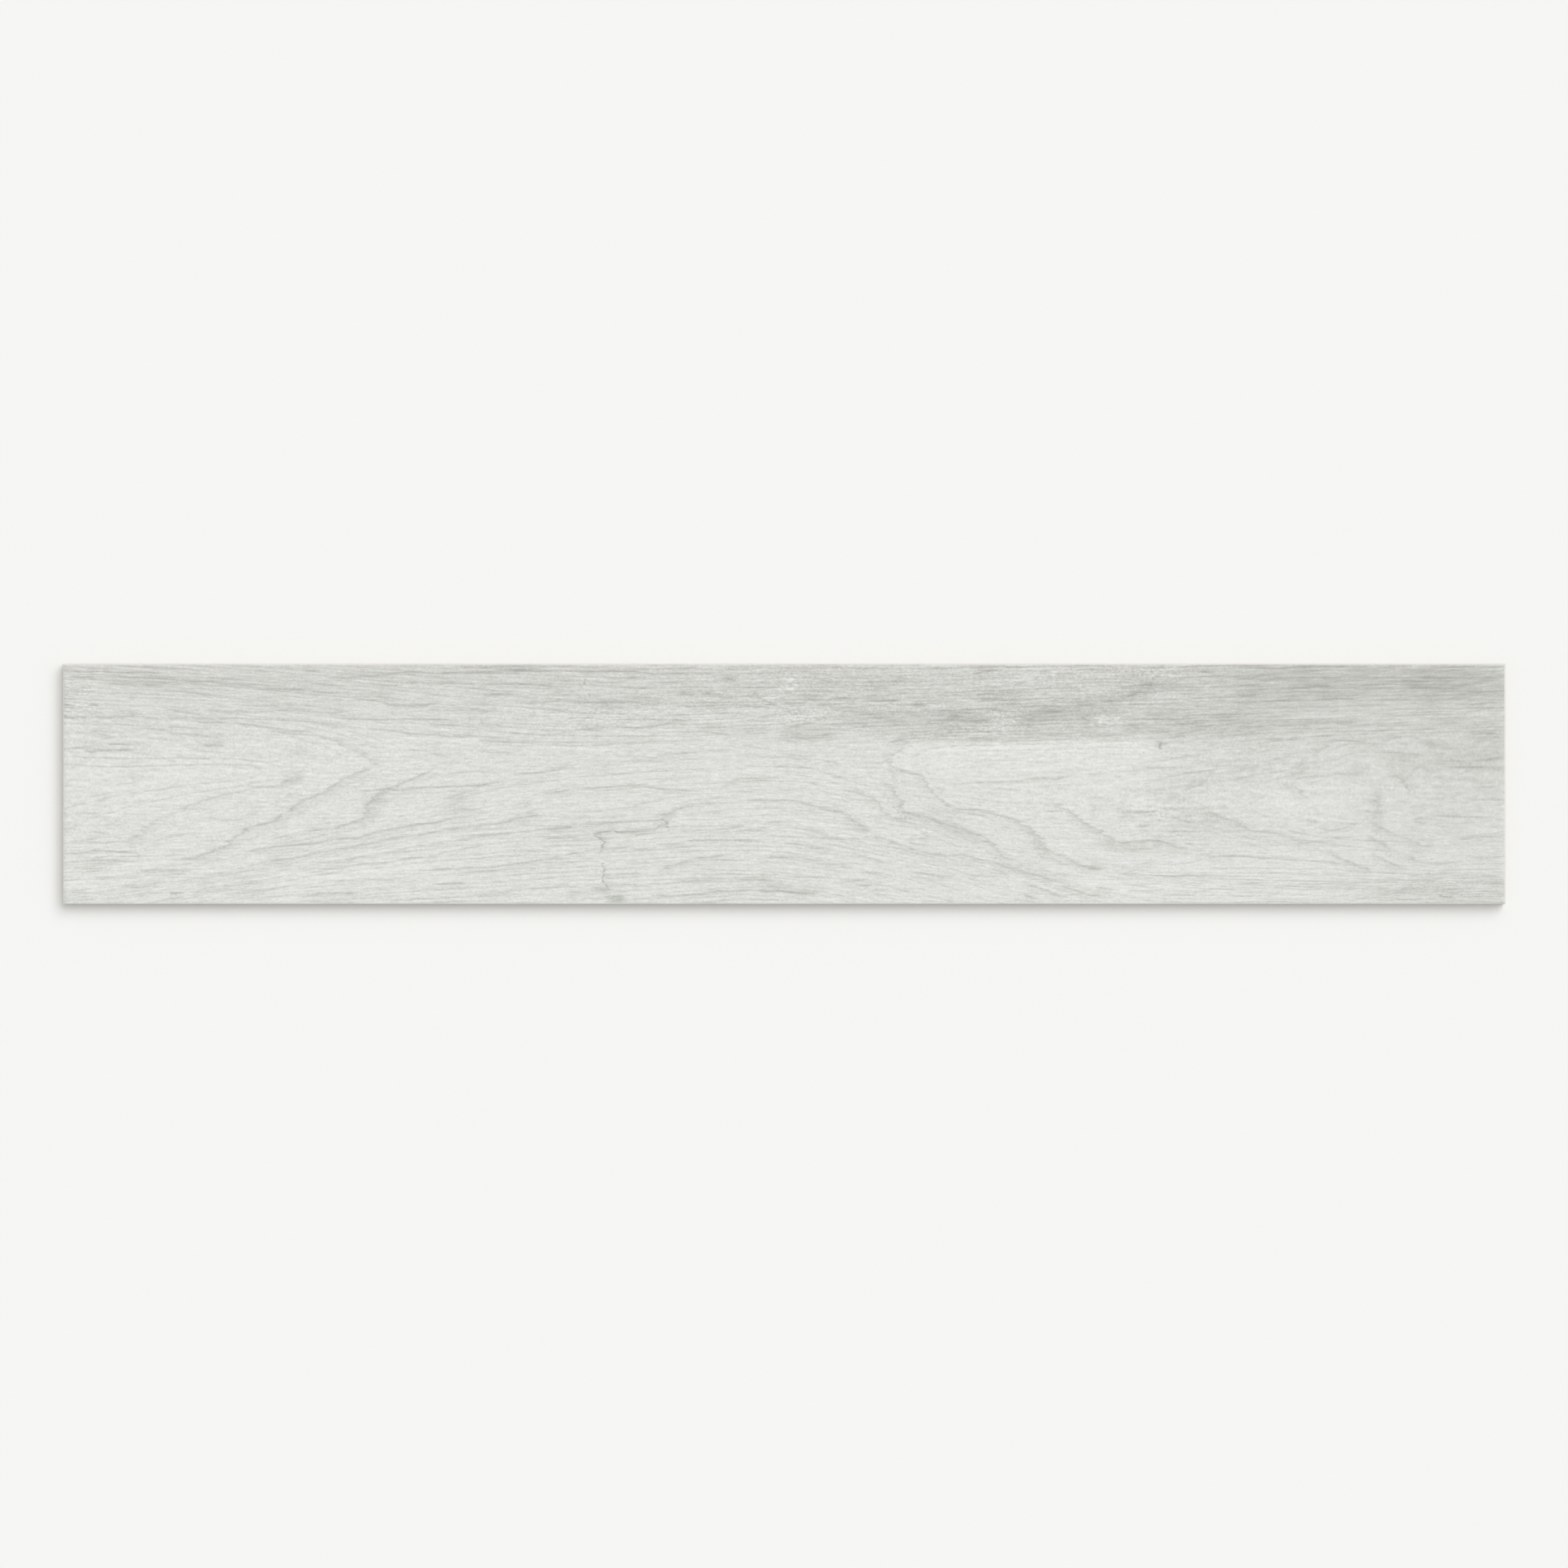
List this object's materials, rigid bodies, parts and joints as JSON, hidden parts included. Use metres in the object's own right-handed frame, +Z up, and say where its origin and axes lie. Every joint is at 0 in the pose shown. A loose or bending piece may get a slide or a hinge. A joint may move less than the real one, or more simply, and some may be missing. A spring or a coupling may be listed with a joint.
{
  "type": "porcelain plank tile",
  "caption": "Long flat porcelain plank tile with a matt glazed wood-grain face, bevelled ground edges and a honeycomb-keyed back for bonding to a floor or wall.",
  "frame": {"origin": "middle of the back, in the plane of the back ribs that the tile rests on", "axes": "+X along the plank, with the grain; +Y across it; +Z up, out of the glazed face"},
  "size_m": [0.9, 0.15, 0.0095],
  "materials": {
    "glazed_porcelain": "matte"
  },
  "bodies": {
    "root": {"porcelain_tile": "glazed_porcelain"}
  },
  "joints": []
}
